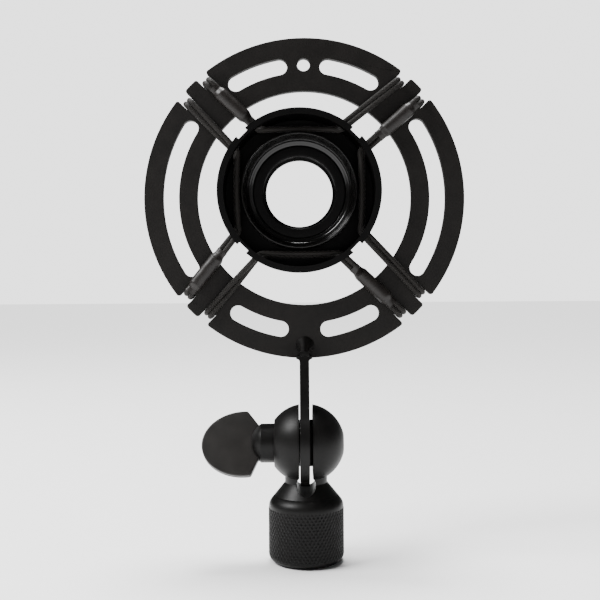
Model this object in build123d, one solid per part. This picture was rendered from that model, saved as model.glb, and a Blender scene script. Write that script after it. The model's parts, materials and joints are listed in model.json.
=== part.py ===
from build123d import *
import math
import os

# Frame: origin at the mouth of the stand thread, +Z up, front towards -Y.

# Base, neck and ball
BASE_R = 12.7
FOOT_FILLET = 2.8
GRIP_TOP = 18.2
BAND_R = 12.65
BAND_TOP = 19.6
CONE_FOOT = (12.3, 20.6)
NECK_R = 7.2
CONE_TOP = 26.6
THREAD_R = 7.45
THREAD_DEPTH = 15.0
PIVOT_Z = 40.0
BALL_R = 13.3
BALL_LEFT = -10.7
BALL_RIGHT = 12.9
SLOT_W = 4.6
KEYHOLE_Z = 26.8
KEYHOLE_R = 3.25
PIVOT_BORE_R = 3.05

# Friction washers and clamp screw
WASHER_R = 7.9
WASHER_GAP = 0.03
STUD_R = 3.0
STUD_START = -12.9
STUD_END = 11.9
HEAD_R = 6.6
HEAD_RIGHT = -10.75
HEAD_LEFT = -15.15
DOME_LEFT = -18.6
WING_CENTRE = (-21.0, -0.35)
WING_LONG = 14.5
WING_HIGH = 11.4
WING_OPEN = 83.0
WING_DROOP = 3.5
WING_ROOT = (-16.0, 5.9)
WING_TONGUE = -13.0
WING_T = 3.2
WING_TURN = -28.0

# Ring
RING_Y = 8.0
RING_Z = 124.5
RING_R = 56.0
RING_BORE = 37.4
RING_T = 2.5
SLOT_R = 46.6
SLOT_HALF = 2.8
SLOT_ARCS = [(-35.4, 35.4), (56.4, 83.1), (97.1, 124.0), (144.8, 215.2), (236.4, 262.9), (276.7, 303.2)]
TOP_HOLE_R = 2.25
CORNERS = [135.0, 45.0, -45.0, -135.0]
NOTCH_W = 4.1
NOTCH_FLOOR = 50.75
NOTCH_ROUND = 0.9
BOSS_Z = 72.9
SCREW_HOLE_R = 1.3

# Arm: it runs nearer the left wall of the ball's slot, and the right washer is the thicker one
ARM_X = -0.35
ARM_T = 3.2
EYE_R = 14.6
BOSS_R = 3.2
BOSS_TIP_R = 1.6
ARM_TOP_Z = 71.2
FLARE_R = 1.2
FLARE_Z = 68.3

# Cup, bush and lock ring, along Y about the cup's own axis
CUP_X = -1.7
CUP_Z = 126.3
CUP_FRONT = -1.0
FLANGE_BACK = 1.3
FLANGE_R = 28.2
CUP_R = 26.95
CUP_BORE = 26.0
FLOOR_FRONT = 10.0
FLOOR_BACK = 12.0
RIM_NOTCH_W = 4.4
RIM_NOTCH_R = 26.95
BUSH_R = 16.1
BUSH_BORE = 12.6
BUSH_LIP = 11.7
LIP_FRONT = 9.8
LIP_BACK = 11.0
BUSH_FRONT = 5.6
BUSH_FLANGE_R = 18.6
BUSH_BACK = 13.8
SEAT_R = 19.4
LOCK_R = 20.1
LOCK_BORE = 16.2
LOCK_FRONT = -0.9
LOCK_FLOOR = 4.5
LOCK_BACK = 9.2

# Elastic cords: two strands side by side, twisted until they lie one behind the other
STRAND_R = 0.925
PAIR_HALF = 1.01
NOTCH_OFFSET = 4.85
CUP_OFFSET = 5.5
CHORD_OFFSET = 21.5
BEND_R = 2.2
BEND_T = 52.65
REAR_DEPTH = 2.25
PLAIN_DEPTH = -2.25
LEG_DEPTH = -3.8
REAR_LANE = 46.9
LANE_R = 1.5
CORNER_R = 2.5
JOIN_SHARE = 0.42
CORD_GAP = 0.1
CORD_HOLE_R = 2.15

# Sleeves and ferrules: (outer end, inner end) measured along each leg from the bend
SLEEVE_SPANS = [(3.5, 21.8), (2.6, 19.9), (4.7, 23.4), (2.6, 19.6)]
SLEEVE_END_R = 2.16
SLEEVE_MID_R = 2.45
SLEEVE_BORE = 1.97
SLEEVE_MID_BORE = 2.22
SLEEVE_END_LEN = 3.4
SLEEVE_STEP = 0.5
FERRULE_R = 2.21
FERRULE_LEN = 6.0

os.makedirs("parts", exist_ok=True)


def turned_y(points, x, z):
    """Solid of revolution about a line along Y; points are (radius, y)."""
    face = make_face(Polyline(*points, close=True))
    return Pos(x, 0, z) * revolve(face, Axis.Y)


def turned_z(points):
    """Solid of revolution about Z; points are (radius, z)."""
    face = make_face(Plane.XZ * Polyline(*points, close=True))
    return revolve(face, Axis.Z)


def rod_x(radius, x0, x1):
    """Round bar along X at the pivot."""
    return Pos((x0 + x1) / 2, 0, PIVOT_Z) * Rot(0, 90, 0) * Cylinder(radius, abs(x1 - x0))


def rod_y(radius, x, z, y0, y1):
    """Round bar along Y."""
    return Pos(x, (y0 + y1) / 2, z) * Rot(90, 0, 0) * Cylinder(radius, abs(y1 - y0))


def ring_point(t, n, depth, angle):
    """Point in the ring's frame: t outwards along a corner's diagonal, n across it."""
    a = math.radians(angle)
    x = t * math.cos(a) - n * math.sin(a)
    z = t * math.sin(a) + n * math.cos(a)
    return Vector(x, RING_Y + depth, RING_Z + z)


def cup_point(t, n, depth, angle):
    """The same about the cup's axis."""
    p = ring_point(t, n, depth, angle)
    return Vector(p.X + CUP_X, p.Y, p.Z - RING_Z + CUP_Z)


def outer_ring():
    body = rod_y(RING_R, 0, RING_Z, RING_Y - RING_T / 2, RING_Y + RING_T / 2)
    body -= rod_y(RING_BORE, 0, RING_Z, 0, 20)
    for start, stop in SLOT_ARCS:
        body -= arc_slot(start, stop)
    body -= rod_y(TOP_HOLE_R, 0, RING_Z + SLOT_R, 0, 20)
    body -= rod_y(SCREW_HOLE_R, 0, BOSS_Z, 0, 20)
    for angle in CORNERS:
        for side in (-1, 1):
            centre = ring_point(NOTCH_FLOOR + 5, side * NOTCH_OFFSET, 0, angle)
            body -= Pos(*centre) * Rot(0, -angle, 0) * Box(10, 10, NOTCH_W)
    return fillet(notch_mouths(body), NOTCH_ROUND)


def notch_mouths(body):
    """The ring's straight edges where its notches open through the rim."""
    mouths = []
    for edge in body.edges().filter_by(Axis.Y):
        x = edge.center().X
        z = edge.center().Z - RING_Z
        if abs(math.hypot(x, z) - RING_R) < 0.05 and min(abs(x), abs(z)) > 20:
            mouths.append(edge)
    return mouths


def arc_slot(start, stop):
    """Slot that follows the ring, with round ends."""
    end_turn = math.degrees(SLOT_HALF / SLOT_R)
    a0 = math.radians(start + end_turn)
    a1 = math.radians(stop - end_turn)
    mid = (a0 + a1) / 2
    r = SLOT_R
    arc = ThreePointArc(
        (r * math.cos(a0), r * math.sin(a0)),
        (r * math.cos(mid), r * math.sin(mid)),
        (r * math.cos(a1), r * math.sin(a1)),
    )
    sketch = SlotArc(arc, height=2 * SLOT_HALF)
    plane = Plane(origin=(0, RING_Y + 5, RING_Z), x_dir=(1, 0, 0), z_dir=(0, -1, 0))
    return extrude(plane * sketch, 10)


def swivel_base():
    f = FOOT_FILLET
    body = turned_z(
        [
            (THREAD_R, 0),
            (BASE_R - f, 0),
            (BASE_R - 0.6 * f, 0.15 * f),
            (BASE_R - 0.3 * f, 0.3 * f),
            (BASE_R - 0.1 * f, 0.58 * f),
            (BASE_R, f),
            (BASE_R, GRIP_TOP),
            (BAND_R, GRIP_TOP + 0.25),
            (BAND_R, BAND_TOP),
            (BAND_R - 0.1, BAND_TOP + 0.5),
            CONE_FOOT,
            (NECK_R + 0.2, CONE_TOP),
            (NECK_R, CONE_TOP + 0.2),
            (NECK_R, PIVOT_Z - 9),
            (0, PIVOT_Z - 9),
            (0, THREAD_DEPTH + 1.2),
            (THREAD_R - 0.5, THREAD_DEPTH),
            (THREAD_R, THREAD_DEPTH),
        ]
    )
    body += Pos(0, 0, PIVOT_Z) * Rot(0, 90, 0) * Sphere(BALL_R)
    body -= Pos(BALL_LEFT - 10, 0, PIVOT_Z) * Box(20, 40, 40)
    body -= Pos(BALL_RIGHT + 10, 0, PIVOT_Z) * Box(20, 40, 40)
    body -= Pos(0, 0, KEYHOLE_Z + 20) * Box(SLOT_W, 60, 40)
    body -= rod_y(KEYHOLE_R, 0, KEYHOLE_Z, -30, 30)
    body -= rod_x(PIVOT_BORE_R, -30, 30)
    return body


def friction_washer(side):
    inner = ARM_X + side * (ARM_T / 2 + 0.02)
    outer = side * (SLOT_W / 2 - WASHER_GAP)
    washer = rod_x(WASHER_R, inner, outer)
    return washer - rod_x(PIVOT_BORE_R, -5, 5)


def clamp_stud():
    return rod_x(STUD_R, STUD_START, STUD_END)


def thumb_screw_wing():
    """A flat wing with an oval outline, turned about the screw's axis."""
    rx, rz = WING_ROOT
    oval = EllipticalCenterArc(
        WING_CENTRE,
        WING_LONG,
        WING_HIGH,
        start_angle=WING_OPEN,
        arc_size=360 - 2 * WING_OPEN,
        rotation=WING_DROOP,
    )
    outline = make_face(
        [
            oval,
            Line(oval @ 1, (rx, -rz)),
            Line((rx, -rz), (WING_TONGUE, -rz)),
            Line((WING_TONGUE, -rz), (WING_TONGUE, rz)),
            Line((WING_TONGUE, rz), (rx, rz)),
            Line((rx, rz), oval @ 0),
        ]
    )
    plate = extrude(Plane.XZ * outline, WING_T / 2, both=True)
    return Pos(0, 0, PIVOT_Z) * Rot(WING_TURN, 0, 0) * plate


def thumb_screw_head():
    middle = (HEAD_LEFT - 2.5, HEAD_R * 0.62)
    outline = make_face(
        [
            Line((HEAD_RIGHT, 0), (HEAD_RIGHT, HEAD_R)),
            Line((HEAD_RIGHT, HEAD_R), (HEAD_LEFT, HEAD_R)),
            ThreePointArc((HEAD_LEFT, HEAD_R), middle, (DOME_LEFT, 0)),
            Line((DOME_LEFT, 0), (HEAD_RIGHT, 0)),
        ]
    )
    body = Pos(0, 0, PIVOT_Z) * revolve(outline, Axis.X)
    body -= rod_x(STUD_R + 0.01, STUD_START - 0.01, 0)
    slot = Box(WING_TONGUE + 30, WING_T + 0.02, 2 * WING_ROOT[1] + 0.02)
    body -= Pos((WING_TONGUE - 30) / 2, 0, PIVOT_Z) * Rot(WING_TURN, 0, 0) * slot
    return body


def arm():
    half = ARM_T / 2
    eye = rod_x(EYE_R, ARM_X - half, ARM_X + half)
    bar = make_face(
        Plane.YZ
        * Polyline(
            (-12.4, PIVOT_Z + 7.5),
            (-9.0, PIVOT_Z + 12.5),
            (-6.2, PIVOT_Z + 18),
            (-4.1, PIVOT_Z + 25),
            (-2.6, ARM_TOP_Z - 1.6),
            (-0.8, ARM_TOP_Z),
            (4.6, ARM_TOP_Z),
            (5.3, ARM_TOP_Z - 3.2),
            (5.6, PIVOT_Z + 25),
            (7.2, PIVOT_Z + 18),
            (9.4, PIVOT_Z + 12.5),
            (12.4, PIVOT_Z + 7.5),
            close=True,
        )
    )
    body = eye + Pos(ARM_X, 0, 0) * extrude(bar, half, both=True) + ring_flare()
    base_face = Plane(origin=(0, RING_Y - RING_T / 2, BOSS_Z), z_dir=(0, -1, 0)) * Circle(BOSS_R)
    waist_face = Plane(origin=(ARM_X / 2, 4.6, BOSS_Z - 0.7), z_dir=(0, -1, -0.3)) * Circle(2.15)
    tip_face = Plane(origin=(ARM_X, 1.2, BOSS_Z - 2.9), z_dir=(0, -1, -0.8)) * Circle(BOSS_TIP_R)
    body += loft([base_face, waist_face, tip_face])
    body -= rod_x(PIVOT_BORE_R, -5, 5)
    body -= rod_y(SCREW_HOLE_R, 0, BOSS_Z, 4.2, 9)
    return body


def ring_flare():
    """The bar's sides flare out where it meets the ring's lower edge."""
    half = ARM_T / 2
    r = FLARE_R
    z = FLARE_Z
    c = r * (1 - math.sqrt(0.5))
    outline = make_face(
        [
            Line((-half - r, z), (-half - r, z + 0.9)),
            Line((-half - r, z + 0.9), (half + r, z + 0.9)),
            Line((half + r, z + 0.9), (half + r, z)),
            ThreePointArc((half + r, z), (half + c, z - c), (half, z - r)),
            Line((half, z - r), (-half, z - r)),
            ThreePointArc((-half, z - r), (-half - c, z - c), (-half - r, z)),
        ]
    )
    front = Plane(origin=(ARM_X, 4.9, 0), x_dir=(1, 0, 0), z_dir=(0, -1, 0))
    return extrude(front * outline, -(RING_Y - RING_T / 2 - 0.02 - 4.9))


def arm_screw():
    back = RING_Y + RING_T / 2
    shank = rod_y(SCREW_HOLE_R - 0.04, 0, BOSS_Z, 4.4, back + 0.5)
    head = turned_y([(0, back), (2.4, back), (2.4, back + 1.0), (1.6, back + 1.6), (0, back + 1.7)], 0, BOSS_Z)
    socket = extrude(Plane(origin=(0, back + 1.0, BOSS_Z), z_dir=(0, 1, 0)) * RegularPolygon(0.95, 6), 2)
    return shank + head - socket


def mic_cup():
    body = turned_y(
        [
            (CUP_BORE, CUP_FRONT),
            (FLANGE_R, CUP_FRONT),
            (FLANGE_R, FLANGE_BACK),
            (CUP_R, FLANGE_BACK),
            (CUP_R, FLOOR_BACK - 1.4),
            (CUP_R - 0.4, FLOOR_BACK - 0.4),
            (CUP_R - 1.4, FLOOR_BACK),
            (BUSH_R, FLOOR_BACK),
            (BUSH_R, FLOOR_FRONT),
            (CUP_BORE, FLOOR_FRONT),
        ],
        CUP_X,
        CUP_Z,
    )
    for angle in CORNERS:
        centre = cup_point(RIM_NOTCH_R + 2, 0, CUP_FRONT + 1.15 - RING_Y, angle)
        body -= Pos(*centre) * Rot(0, -angle, 0) * Box(4, 2.3, RIM_NOTCH_W)
        for side in (-1, 1):
            centre = cup_point(27, side * CUP_OFFSET, LEG_DEPTH, angle)
            body -= Pos(*centre) * Rot(0, 90 - angle, 0) * Cylinder(CORD_HOLE_R, 12)
    return body


def threaded_bush():
    return turned_y(
        [
            (BUSH_BORE + 0.5, BUSH_FRONT),
            (BUSH_R - 0.1, BUSH_FRONT),
            (BUSH_R - 0.1, FLOOR_BACK + 0.02),
            (BUSH_FLANGE_R, FLOOR_BACK + 0.02),
            (BUSH_FLANGE_R, BUSH_BACK),
            (BUSH_BORE - 0.2, BUSH_BACK),
            (BUSH_BORE - 0.2, LIP_BACK),
            (BUSH_LIP, LIP_BACK),
            (BUSH_LIP, LIP_FRONT),
            (BUSH_BORE, LIP_FRONT),
            (BUSH_BORE, BUSH_FRONT + 0.5),
        ],
        CUP_X,
        CUP_Z,
    )


def seat_washer():
    points = [
        (BUSH_R + 0.02, LOCK_BACK + 0.02),
        (SEAT_R, LOCK_BACK + 0.02),
        (SEAT_R, FLOOR_FRONT - 0.01),
        (BUSH_R + 0.02, FLOOR_FRONT - 0.01),
    ]
    return turned_y(points, CUP_X, CUP_Z)


def lock_ring():
    return turned_y(
        [
            (LOCK_BORE, LOCK_FLOOR + 0.3),
            (LOCK_BORE + 0.6, LOCK_FLOOR),
            (LOCK_BORE + 1.2, LOCK_FLOOR - 0.6),
            (LOCK_BORE + 1.9, LOCK_FLOOR - 1.9),
            (LOCK_BORE + 2.6, LOCK_FLOOR - 3.7),
            (LOCK_BORE + 3.1, LOCK_FRONT),
            (LOCK_R - 0.4, LOCK_FRONT),
            (LOCK_R, LOCK_FRONT + 0.4),
            (LOCK_R, LOCK_BACK - 0.5),
            (LOCK_R - 0.5, LOCK_BACK),
            (LOCK_BORE, LOCK_BACK),
        ],
        CUP_X,
        CUP_Z,
    )


def leg_axis(angle, side):
    """Points on a leg's middle line: over the bend, at the join and at the cup's corner."""
    depth = LEG_DEPTH if side < 0 else PLAIN_DEPTH
    bend = ring_point(BEND_T, side * NOTCH_OFFSET, depth, angle)
    corner = cup_point(CHORD_OFFSET * math.sqrt(2) - CUP_OFFSET, side * CUP_OFFSET, LEG_DEPTH, angle)
    join = bend + (corner - bend) * JOIN_SHARE
    return bend, join, corner


def leg_points(angle, side, strand):
    """One strand's points on a leg, from the bend inwards."""
    bend, join, corner = leg_axis(angle, side)
    across = ring_point(0, side, 0, angle) - ring_point(0, 0, 0, angle)
    depth = Vector(0, 1, 0)
    shift = strand * PAIR_HALF
    half = math.sqrt(0.5)
    return (
        bend + across * shift,
        join + (across * half + depth * half) * shift,
        corner + depth * shift,
    )


def rounded_path(points, radii):
    """Straight runs joined by tangent arcs; one radius for each inner point."""
    edges = []
    last = points[0]
    for i in range(1, len(points) - 1):
        into = (points[i] - points[i - 1]).normalized()
        away = (points[i + 1] - points[i]).normalized()
        turn = math.acos(max(-1.0, min(1.0, into.dot(away))))
        reach = radii[i - 1] * math.tan(turn / 2)
        start = points[i] - into * reach
        stop = points[i] + away * reach
        middle = points[i] + (away - into).normalized() * (radii[i - 1] / math.cos(turn / 2) - radii[i - 1])
        if (start - last).length > 0.001:
            edges.append(Edge.make_line(last, start))
        edges.append(Edge.make_three_point_arc(start, middle, stop))
        last = stop
    edges.append(Edge.make_line(last, points[-1]))
    return Wire(edges)


def strand_points(index, strand):
    """One strand from the sleeve at a corner, through the cup, to the next corner's sleeve."""
    here = CORNERS[index]
    there = CORNERS[(index + 1) % 4]
    bend, join, corner = leg_points(here, -1, strand)
    bend2, join2, corner2 = leg_points(there, 1, strand)
    bend3, join3, corner3 = leg_points(there, -1, strand)
    wide = NOTCH_OFFSET + strand * PAIR_HALF
    lane = REAR_LANE - strand * PAIR_HALF
    start = join + (corner - join).normalized() * CORD_GAP
    stop = join3 + (bend3 - join3).normalized() * CORD_GAP
    points = [
        start,
        corner,
        corner2,
        join2,
        bend2,
        ring_point(BEND_T, wide, REAR_DEPTH, there),
        ring_point(lane, wide, REAR_DEPTH, there),
        ring_point(lane, -wide, REAR_DEPTH, there),
        ring_point(BEND_T, -wide, REAR_DEPTH, there),
        bend3,
        stop,
    ]
    radii = [CORNER_R, CORNER_R, 20.0, BEND_R, BEND_R, LANE_R, LANE_R, BEND_R, BEND_R]
    return points, radii


def elastic(index):
    strands = []
    for strand in (-1, 1):
        points, radii = strand_points(index, strand)
        path = rounded_path(points, radii)
        section = Plane(origin=points[0], z_dir=points[1] - points[0]) * Circle(STRAND_R)
        strands.append(sweep(section, path=path))
    return Compound(children=[s.solid() for s in strands])


def on_leg(index, shape):
    """Place a shape turned about Z so that Z runs from the bend inwards along a leg."""
    bend, join, corner = leg_axis(CORNERS[index], -1)
    plane = Plane(origin=bend, z_dir=corner - bend)
    return plane * shape


def sleeve(index):
    outer, inner = SLEEVE_SPANS[index]
    a = outer + SLEEVE_END_LEN
    b = inner - SLEEVE_END_LEN
    s = SLEEVE_STEP
    shape = turned_z(
        [
            (SLEEVE_BORE, outer),
            (SLEEVE_END_R, outer),
            (SLEEVE_END_R, a - s),
            (SLEEVE_MID_R, a),
            (SLEEVE_MID_R, b),
            (SLEEVE_END_R, b + s),
            (SLEEVE_END_R, inner),
            (SLEEVE_BORE, inner),
            (SLEEVE_BORE, b + s),
            (SLEEVE_MID_BORE, b),
            (SLEEVE_MID_BORE, a),
            (SLEEVE_BORE, a - s),
        ]
    )
    return on_leg(index, shape)


def ferrule(index):
    bend, join, corner = leg_axis(CORNERS[index], -1)
    middle = (join - bend).length
    a = middle - FERRULE_LEN / 2
    b = middle + FERRULE_LEN / 2
    shape = turned_z([(SLEEVE_BORE, a), (FERRULE_R, a), (FERRULE_R, b), (SLEEVE_BORE, b)])
    return on_leg(index, shape)


NAMES = ["top", "right", "bottom", "left"]
PLACES = ["upper_left", "upper_right", "lower_right", "lower_left"]

parts = {
    "outer_ring": outer_ring(),
    "swivel_base": swivel_base(),
    "friction_washer_left": friction_washer(-1),
    "friction_washer_right": friction_washer(1),
    "clamp_stud": clamp_stud(),
    "thumb_screw_head": thumb_screw_head(),
    "thumb_screw_wing": thumb_screw_wing(),
    "arm": arm(),
    "arm_screw": arm_screw(),
    "mic_cup": mic_cup(),
    "threaded_bush": threaded_bush(),
    "seat_washer": seat_washer(),
    "lock_ring": lock_ring(),
}
for i in range(4):
    parts["elastic_" + NAMES[i]] = elastic(i)
    parts["sleeve_" + PLACES[i]] = sleeve(i)
    parts["ferrule_" + PLACES[i]] = ferrule(i)

for name, shape in parts.items():
    export_step(shape, "parts/" + name + ".step")
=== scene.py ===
"""A microphone shock mount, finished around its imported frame.

Every length in this file is in metres unless its name says otherwise. A corner is one of the ring's
four diagonals, where two legs of doubled elastic cord go over the ring's edge.
"""

import json
import math

import bmesh
import bpy
import numpy as np
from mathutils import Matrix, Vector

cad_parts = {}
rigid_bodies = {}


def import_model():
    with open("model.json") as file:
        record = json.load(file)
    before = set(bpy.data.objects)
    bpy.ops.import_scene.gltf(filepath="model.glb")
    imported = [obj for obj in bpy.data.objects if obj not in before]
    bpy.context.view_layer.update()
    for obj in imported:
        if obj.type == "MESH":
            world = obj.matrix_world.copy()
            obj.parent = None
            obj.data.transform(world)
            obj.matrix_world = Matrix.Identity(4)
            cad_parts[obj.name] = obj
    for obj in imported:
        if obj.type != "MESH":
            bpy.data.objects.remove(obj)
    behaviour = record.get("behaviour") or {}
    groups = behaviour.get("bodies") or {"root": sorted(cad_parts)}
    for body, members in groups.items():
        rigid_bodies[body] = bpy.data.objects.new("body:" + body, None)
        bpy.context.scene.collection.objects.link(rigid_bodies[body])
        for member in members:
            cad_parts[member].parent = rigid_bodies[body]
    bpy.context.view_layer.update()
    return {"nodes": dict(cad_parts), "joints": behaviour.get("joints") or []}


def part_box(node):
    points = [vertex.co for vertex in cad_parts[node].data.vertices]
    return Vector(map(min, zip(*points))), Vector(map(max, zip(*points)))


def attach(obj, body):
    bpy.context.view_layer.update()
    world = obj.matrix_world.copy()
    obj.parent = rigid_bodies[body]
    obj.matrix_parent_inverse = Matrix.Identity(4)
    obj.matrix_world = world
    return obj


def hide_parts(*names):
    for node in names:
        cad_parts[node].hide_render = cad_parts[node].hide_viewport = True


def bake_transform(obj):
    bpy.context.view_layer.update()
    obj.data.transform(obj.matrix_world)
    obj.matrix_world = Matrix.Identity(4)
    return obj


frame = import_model()

bl_info = {
    "name": "Microphone shock mount",
    "version": (1, 0, 0),
    "blender": (4, 5, 0),
    "location": "3D View > Sidebar > Shock mount",
    "description": "Builds the finished pieces of a microphone shock mount around its packed frame",
    "category": "Add Mesh",
}

MM = 0.001
UP = np.array([0.0, 0.0, 1.0])
BACK = np.array([0.0, 1.0, 0.0])
RIGHT = np.array([1.0, 0.0, 0.0])


def middle(node):
    """Centre of a CAD node's box."""
    low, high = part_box(node)
    return (np.array(low) + np.array(high)) / 2


def reach(node, axis):
    """Half of a CAD node's box along one axis."""
    low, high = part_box(node)
    return float(high[axis] - low[axis]) / 2


RING = middle("outer_ring")
CUP = middle("mic_cup")
PIVOT = np.array(next(j["pos_m"] for j in frame["joints"] if j["name"] == "tilt"), float)

CORNERS = {"upper_left": 135.0, "upper_right": 45.0, "lower_right": -45.0, "lower_left": -135.0}
PLACES = list(CORNERS)
SIDES = ["top", "right", "bottom", "left"]

# Path points and section points: their spacing, and the smallest step or turn that counts
PATH_STEP = 0.14 * MM
CORNER_STEP = 0.5 * MM
ARC_TURN = 0.2
TINY = 1e-9

# A leg's piece starts this far in from its bend, and stops this far before its turn inside the cup
LEG_START = 2.6 * MM
WALL_INSET = 1.3 * MM

# How far the pair has turned from side by side in the runs inside the cup, and where each leg meets
# the cup, in degrees
TWIST_RUN = 70.0
TWIST_SLEEVED = {"upper_left": 35.0, "upper_right": 18.0, "lower_right": 30.0, "lower_left": 28.0}
TWIST_PLAIN = {"upper_left": 48.0, "upper_right": 20.0, "lower_right": 12.0, "lower_left": 74.0}

# Each sleeve's outer and inner end, measured along its leg from the bend over the ring's edge
SLEEVE_ENDS = {
    "upper_left": (3.5 * MM, 21.8 * MM),
    "upper_right": (2.3 * MM, 19.9 * MM),
    "lower_right": (4.7 * MM, 23.4 * MM),
    "lower_left": (1.2 * MM, 19.6 * MM),
}


def size(name, default, text, **more):
    """One length that a user may change, in metres."""
    return bpy.props.FloatProperty(
        name=name, description=text, default=default, unit="LENGTH", precision=6, min=0.0, **more
    )


def number(name, default, text, **more):
    """One other number that a user may change."""
    return bpy.props.FloatProperty(name=name, description=text, default=default, **more)


def count(name, default, text):
    """One whole number that a user may change."""
    return bpy.props.IntProperty(name=name, description=text, default=default, min=4)


def paint(name, default, text):
    """One colour that a user may change, in linear light."""
    return bpy.props.FloatVectorProperty(
        name=name, description=text, default=default, subtype="COLOR", size=3, min=0.0, max=1.0
    )


class SHOCKMOUNT_cord_sizes(bpy.types.PropertyGroup):
    strand_radius: size("Strand radius", 0.925 * MM, "Half the thickness of one elastic strand")
    pair_half: size("Pair half gap", 0.88 * MM, "Half the distance between a pair's middle lines")
    notch_offset: size("Notch offset", 4.85 * MM, "From a corner's diagonal to the middle of a notch")
    cup_offset: size("Cup offset", 5.5 * MM, "From a corner's diagonal to the middle of a hole in the cup")
    chord_offset: size("Chord offset", 21.5 * MM, "From the cup's axis to the straight run inside it")
    bend_out: size("Bend distance", 52.65 * MM, "From the ring's axis to the outermost middle line")
    bend_radius: size("Bend radius", 2.2 * MM, "Radius of a middle line over the ring's edge")
    corner_radius: size("Corner radius", 2.5 * MM, "Radius of a middle line at the cup's wall")
    plain_depth: size("Plain leg depth", 2.25 * MM, "From the ring's middle forward to a plain leg's start")
    leg_depth: size("Leg depth", 3.8 * MM, "From the ring's middle forward to a leg's end in the cup")
    rear_depth: size("Rear depth", 2.25 * MM, "From the ring's middle back to the crossing of a tab")
    rear_lane: size("Rear lane", 46.9 * MM, "From the ring's axis to the crossing behind a tab")
    lane_radius: size("Lane radius", 1.5 * MM, "Radius of a middle line behind a tab")
    chord_bow: size("Chord bow", 0.25 * MM, "How far the runs inside the cup bow away from its axis")
    braid_step: size("Braid step", 0.8 * MM, "Length of one crossing of the braid")
    braid_lift: size("Braid lift", 0.09 * MM, "How far a braid yarn stands out")
    carriers: count("Carriers", 8, "Yarns round the cord in each direction")


class SHOCKMOUNT_sleeve_sizes(bpy.types.PropertyGroup):
    middle_radius: size("Middle radius", 2.45 * MM, "Half the thickness over the ferrule")
    end_wide: size("End half width", 1.93 * MM, "Half the wider way at a sleeve's ends")
    end_thin: size("End half thickness", 1.2 * MM, "Half the thinner way at a sleeve's ends")
    end_length: size("End length", 3.4 * MM, "Length of the shrunk part at each end")
    wall: size("Wall", 0.1 * MM, "Thickness of the shrunk tube")
    ferrule_length: size("Ferrule length", 6.0 * MM, "Length of the crimped tube inside")
    ferrule_radius: size("Ferrule radius", 2.18 * MM, "Outside radius of the crimped tube")


class SHOCKMOUNT_metal_sizes(bpy.types.PropertyGroup):
    edge: size("Edge rounding", 0.22 * MM, "Rounding of the ring's and cup's edges")
    arm_edge: size("Arm edge rounding", 0.45 * MM, "Rounding of the arm's edges")
    wing_edge: size("Wing edge rounding", 0.5 * MM, "Rounding of the wing's edges")
    knurl_step: size("Knurl step", 2.1 * MM, "Height of one diamond of the grip's knurl")
    knurl_depth: size("Knurl depth", 0.42 * MM, "Depth of the grip's knurl")
    knurl_around: count("Knurl around", 57, "Diamonds round the grip")
    stand_pitch: size("Stand thread pitch", 25.4 * MM / 27, "Pitch of the thread in the foot")
    stand_depth: size("Stand thread depth", 0.45 * MM, "Depth of the thread in the foot")
    bush_pitch: size("Bush thread pitch", 0.9 * MM, "Pitch of the thread in the bush")
    bush_depth: size("Bush thread depth", 0.35 * MM, "Depth of the thread in the bush")
    lock_teeth: count("Lock ring teeth", 180, "Straight knurl teeth round the lock ring")
    lock_depth: size("Lock ring tooth depth", 0.26 * MM, "Depth of the lock ring's straight knurl")


class SHOCKMOUNT_colours(bpy.types.PropertyGroup):
    ring: paint("Ring enamel", (0.0046, 0.0038, 0.0033), "Colour of the ring's enamel")
    swivel: paint("Swivel enamel", (0.0036, 0.0034, 0.0032), "Colour of the swivel and thumb screw")
    # Painted shade: the arm shares the swivel's enamel, but its colour is a darker copy of the swivel's.
    arm: paint("Arm enamel painted darker", (0.0024, 0.0022, 0.002), "Colour of the arm")
    # Painted light: the wing shares the swivel's enamel, but its colour is a paler copy of the swivel's, as
    # if lit more.
    wing: paint("Wing enamel painted lighter", (0.0074, 0.0063, 0.0055), "Colour of the thumb screw's wing")
    cup: paint("Cup enamel", (0.001, 0.0009, 0.0009), "Colour of the cup")
    lock: paint("Lock ring enamel", (0.0016, 0.0015, 0.0014), "Colour of the lock ring")
    cord: paint("Cord cover", (0.0062, 0.0052, 0.0044), "Colour of the cords' woven cover")
    sleeve: paint("Sleeve", (0.0074, 0.0059, 0.0052), "Colour of the shrunk sleeves")
    steel: paint("Blackened steel", (0.05, 0.048, 0.046), "Colour of the screws")
    fibre: paint("Friction washer", (0.006, 0.006, 0.006), "Colour of the washers")
    ferrule: paint("Ferrule", (0.55, 0.54, 0.52), "Colour of the crimped ferrules")
    floor: paint("Floor", (0.86, 0.86, 0.86), "Colour of the floor and backdrop")


class SHOCKMOUNT_stage_sizes(bpy.types.PropertyGroup):
    lens: number("Lens", 51.4, "Focal length in millimetres", min=10.0)
    distance: size("Camera distance", 0.3007, "From the camera to the ring's middle plane")
    height: size("Camera height", 0.0888, "Height of the camera above the floor")
    sideways: number("Camera offset", -1.7 * MM, "Camera's distance to the right", unit="LENGTH")
    roll: number("Camera roll", math.radians(0.35), "Turn about the camera's own axis", unit="ROTATION")
    key: number("Key light", 22.0, "Power of the key light", min=0.0)
    fill: number("Fill light", 0.5, "Power of the fill light", min=0.0)
    top: number("Top light", 6.8, "Strength of the top light", min=0.0)
    sky: number("Surroundings", 0.1, "Light from the surroundings", min=0.0)
    backdrop: number("Backdrop", 2.5, "Brightness of the backdrop", min=0.0)


SETTINGS = {
    "shock_cords": SHOCKMOUNT_cord_sizes,
    "shock_sleeves": SHOCKMOUNT_sleeve_sizes,
    "shock_metal": SHOCKMOUNT_metal_sizes,
    "shock_colours": SHOCKMOUNT_colours,
    "shock_stage": SHOCKMOUNT_stage_sizes,
}


# ---- Surfaces ----


def unit(vectors):
    """Each vector divided by its own length."""
    return vectors / np.linalg.norm(vectors, axis=-1, keepdims=True)


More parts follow.
